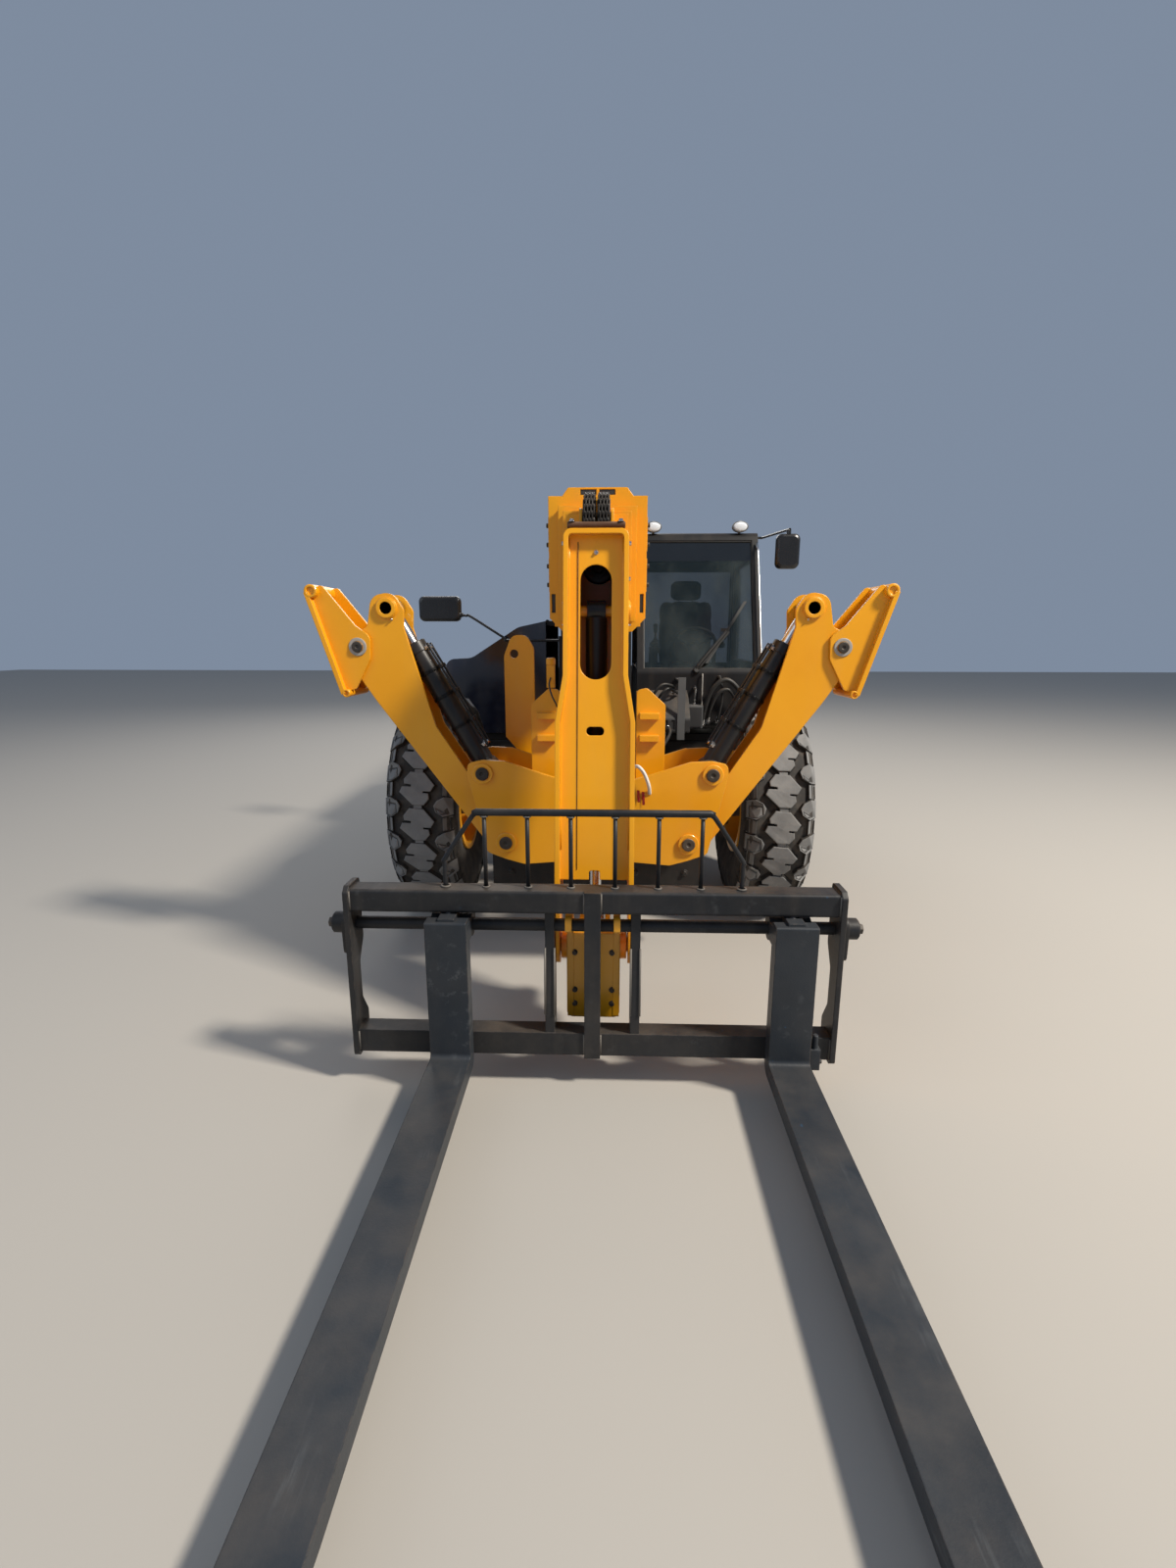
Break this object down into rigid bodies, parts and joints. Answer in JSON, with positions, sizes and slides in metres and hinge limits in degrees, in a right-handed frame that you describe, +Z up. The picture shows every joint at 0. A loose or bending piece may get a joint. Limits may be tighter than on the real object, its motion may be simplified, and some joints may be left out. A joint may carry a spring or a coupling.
{
  "type": "telehandler",
  "caption": "Telescopic handler with a telescopic boom, fork carriage, folding stabilizers, side cab and steered wheels.",
  "frame": {"origin": "on the ground under the middle of the machine's box", "axes": "+Z up, -Y the way the forks point, +X the machine's own left, where the cab is"},
  "size_m": [2.75, 8.1903, 2.574],
  "materials": {
    "yellow_paint": "satin",
    "black_paint": "satin",
    "hood_paint": "gloss",
    "carriage_paint": "matt",
    "fork_steel": "worn",
    "cylinder_black": "satin",
    "rod_chrome": "polished",
    "tyre_rubber": "dusty",
    "axle_iron": "rough",
    "cab_glass": "clear",
    "seat_fabric": "woven",
    "cab_plastic": "grained",
    "lamp_lens": "clear",
    "tail_lens": "clear"
  },
  "bodies": {
    "root": {"cab_cowl": "cab_plastic", "cab_frame": "black_paint", "cab_glass": "cab_glass", "chassis_frame": "black_paint", "counterweight": "black_paint", "engine_block": "axle_iron", "engine_pod": "black_paint", "front_axle": "axle_iron", "fuel_tank": "black_paint", "hood_hinge_rail": "black_paint", "hydraulic_tank": "black_paint", "mirror_left": "black_paint", "mirror_post": "black_paint", "mirror_right": "black_paint", "operator_seat": "seat_fabric", "rear_axle": "axle_iron", "roof_lamps": "lamp_lens", "stabilizer_frame": "yellow_paint", "steering_column": "cab_plastic", "tail_lamps": "tail_lens", "tower_plate": "yellow_paint"},
    "knuckle_front_right": {"knuckle_front_right": "axle_iron"},
    "wheel_front_right": {"tyre_front_right": "tyre_rubber", "rim_front_right": "yellow_paint"},
    "knuckle_front_left": {"knuckle_front_left": "axle_iron"},
    "wheel_front_left": {"tyre_front_left": "tyre_rubber", "rim_front_left": "yellow_paint"},
    "knuckle_rear_right": {"knuckle_rear_right": "axle_iron"},
    "wheel_rear_right": {"tyre_rear_right": "tyre_rubber", "rim_rear_right": "yellow_paint"},
    "knuckle_rear_left": {"knuckle_rear_left": "axle_iron"},
    "wheel_rear_left": {"tyre_rear_left": "tyre_rubber", "rim_rear_left": "yellow_paint"},
    "leg_right": {"stabilizer_leg_right": "yellow_paint"},
    "foot_right": {"stabilizer_foot_right": "yellow_paint"},
    "leg_barrel_right": {"leg_barrel_right": "cylinder_black"},
    "leg_rod_right": {"leg_rod_right": "rod_chrome"},
    "leg_left": {"stabilizer_leg_left": "yellow_paint"},
    "foot_left": {"stabilizer_foot_left": "yellow_paint"},
    "leg_barrel_left": {"leg_barrel_left": "cylinder_black"},
    "leg_rod_left": {"leg_rod_left": "rod_chrome"},
    "door": {"cab_door": "black_paint", "door_glass": "cab_glass"},
    "hood": {"engine_hood": "hood_paint"},
    "boom_outer": {"boom_outer": "yellow_paint"},
    "boom_mid_1": {"boom_mid_1": "yellow_paint"},
    "boom_mid_2": {"boom_mid_2": "yellow_paint"},
    "boom_inner": {"boom_inner": "yellow_paint", "boom_head": "yellow_paint", "hose_rollers": "cab_plastic"},
    "lift_barrel": {"lift_barrel": "cylinder_black"},
    "lift_rod": {"lift_rod": "rod_chrome"},
    "tilt_barrel": {"tilt_barrel": "cylinder_black"},
    "tilt_rod": {"tilt_rod": "rod_chrome"},
    "fork_left": {"fork_left": "fork_steel"},
    "fork_right": {"fork_right": "fork_steel"},
    "carriage": {"hitch": "yellow_paint", "fork_carriage": "carriage_paint", "fork_shaft": "carriage_paint", "load_guard": "carriage_paint"}
  },
  "joints": [
    {"name": "steer_front_right", "type": "hinge", "parent": "root", "child": "knuckle_front_right", "pos_m": [-0.77, -0.205, 0.66], "axis": [0, 0, 1], "range_deg": [-30, 30]},
    {"name": "spin_front_right", "type": "hinge", "parent": "knuckle_front_right", "child": "wheel_front_right", "pos_m": [-1.02, -0.205, 0.66], "axis": [1, 0, 0], "continuous": true},
    {"name": "steer_front_left", "type": "hinge", "parent": "root", "child": "knuckle_front_left", "pos_m": [0.77, -0.205, 0.66], "axis": [0, 0, 1], "range_deg": [-30, 30]},
    {"name": "spin_front_left", "type": "hinge", "parent": "knuckle_front_left", "child": "wheel_front_left", "pos_m": [1.02, -0.205, 0.66], "axis": [1, 0, 0], "continuous": true},
    {"name": "steer_rear_right", "type": "hinge", "parent": "root", "child": "knuckle_rear_right", "pos_m": [-0.77, 2.895, 0.66], "axis": [0, 0, 1], "range_deg": [-30, 30]},
    {"name": "spin_rear_right", "type": "hinge", "parent": "knuckle_rear_right", "child": "wheel_rear_right", "pos_m": [-1.02, 2.895, 0.66], "axis": [1, 0, 0], "continuous": true},
    {"name": "steer_rear_left", "type": "hinge", "parent": "root", "child": "knuckle_rear_left", "pos_m": [0.77, 2.895, 0.66], "axis": [0, 0, 1], "range_deg": [-30, 30]},
    {"name": "spin_rear_left", "type": "hinge", "parent": "knuckle_rear_left", "child": "wheel_rear_left", "pos_m": [1.02, 2.895, 0.66], "axis": [1, 0, 0], "continuous": true},
    {"name": "boom_lift", "type": "hinge", "parent": "root", "child": "boom_outer", "pos_m": [0, 3.495, 2.25], "axis": [-1, 0, 0], "range_deg": [0, 68]},
    {"name": "lift_barrel_swing", "type": "hinge", "parent": "root", "child": "lift_barrel", "pos_m": [0, 2.915, 0.95], "axis": [-1, 0, 0], "range_deg": [0, 52.42]},
    {"name": "lift_rod_slide", "type": "slide", "parent": "lift_barrel", "child": "lift_rod", "axis": [0, -0.9029, 0.4298], "range_m": [0, 1.4378]},
    {"name": "boom_extend_1", "type": "slide", "parent": "boom_outer", "child": "boom_mid_1", "axis": [0, -0.9987, -0.0506], "range_m": [0, 3.6]},
    {"name": "boom_extend_2", "type": "slide", "parent": "boom_mid_1", "child": "boom_mid_2", "axis": [0, -0.9987, -0.0506], "range_m": [0, 3.61]},
    {"name": "boom_extend_3", "type": "slide", "parent": "boom_mid_2", "child": "boom_inner", "axis": [0, -0.9987, -0.0506], "range_m": [0, 3.61]},
    {"name": "fork_tilt", "type": "hinge", "parent": "boom_inner", "child": "carriage", "pos_m": [0, -1.905, 0.45], "axis": [-1, 0, 0], "range_deg": [-40, 12]},
    {"name": "tilt_barrel_swing", "type": "hinge", "parent": "boom_inner", "child": "tilt_barrel", "pos_m": [0, -1.635, 1.8], "axis": [-1, 0, 0], "range_deg": [-1.12, 2.56]},
    {"name": "tilt_rod_slide", "type": "slide", "parent": "tilt_barrel", "child": "tilt_rod", "axis": [0, -0.0222, -0.9998], "range_m": [-0.16, 0.0515]},
    {"name": "fork_right_shift", "type": "slide", "parent": "carriage", "child": "fork_right", "axis": [1, 0, 0], "range_m": [-0.25, 0.26]},
    {"name": "fork_left_shift", "type": "slide", "parent": "carriage", "child": "fork_left", "axis": [1, 0, 0], "range_m": [-0.45, 0.075]},
    {"name": "leg_right_fold", "type": "hinge", "parent": "root", "child": "leg_right", "pos_m": [-0.44, -1.22, 0.72], "axis": [0, -1, 0], "range_deg": [0, 85]},
    {"name": "leg_right_barrel_swing", "type": "hinge", "parent": "root", "child": "leg_barrel_right", "pos_m": [-0.545, -1.22, 1.06], "axis": [0, -1, 0], "range_deg": [0, 97.73]},
    {"name": "leg_right_rod_slide", "type": "slide", "parent": "leg_barrel_right", "child": "leg_rod_right", "axis": [-0.4938, 0, 0.8696], "range_m": [0, 0.4281]},
    {"name": "foot_right_swivel", "type": "hinge", "parent": "leg_right", "child": "foot_right", "pos_m": [-1.12, -1.22, 1.65], "axis": [0, -1, 0], "range_deg": [-15, 15]},
    {"name": "leg_left_fold", "type": "hinge", "parent": "root", "child": "leg_left", "pos_m": [0.44, -1.22, 0.72], "axis": [0, 1, 0], "range_deg": [0, 85]},
    {"name": "leg_left_barrel_swing", "type": "hinge", "parent": "root", "child": "leg_barrel_left", "pos_m": [0.545, -1.22, 1.06], "axis": [0, 1, 0], "range_deg": [0, 97.73]},
    {"name": "leg_left_rod_slide", "type": "slide", "parent": "leg_barrel_left", "child": "leg_rod_left", "axis": [0.4938, 0, 0.8696], "range_m": [0, 0.4281]},
    {"name": "foot_left_swivel", "type": "hinge", "parent": "leg_left", "child": "foot_left", "pos_m": [1.12, -1.22, 1.65], "axis": [0, 1, 0], "range_deg": [-15, 15]},
    {"name": "cab_door_swing", "type": "hinge", "parent": "root", "child": "door", "pos_m": [1.216, 1.905, 1.7], "axis": [0, 0, 1], "range_deg": [0, 85]},
    {"name": "hood_lift", "type": "hinge", "parent": "root", "child": "hood", "pos_m": [-0.43, 1.395, 1.81], "axis": [0, 1, 0], "range_deg": [0, 55]}
  ],
  "couplings": [
    {"joint": "steer_front_left", "follows": "steer_front_right", "ratio": 1},
    {"joint": "steer_rear_left", "follows": "steer_rear_right", "ratio": 1},
    {"joint": "lift_barrel_swing", "follows": "boom_lift", "ratio": 0.76357},
    {"joint": "lift_rod_slide", "follows": "boom_lift", "m_per_rad": 1.2031},
    {"joint": "boom_extend_2", "follows": "boom_extend_1", "ratio": 1},
    {"joint": "boom_extend_3", "follows": "boom_extend_1", "ratio": 1},
    {"joint": "tilt_barrel_swing", "follows": "fork_tilt", "ratio": -0.051513},
    {"joint": "tilt_rod_slide", "follows": "fork_tilt", "m_per_rad": 0.22203},
    {"joint": "leg_right_barrel_swing", "follows": "leg_right_fold", "ratio": 1.1439},
    {"joint": "leg_right_rod_slide", "follows": "leg_right_fold", "m_per_rad": 0.28521},
    {"joint": "leg_left_barrel_swing", "follows": "leg_left_fold", "ratio": 1.1439},
    {"joint": "leg_left_rod_slide", "follows": "leg_left_fold", "m_per_rad": 0.28521}
  ]
}
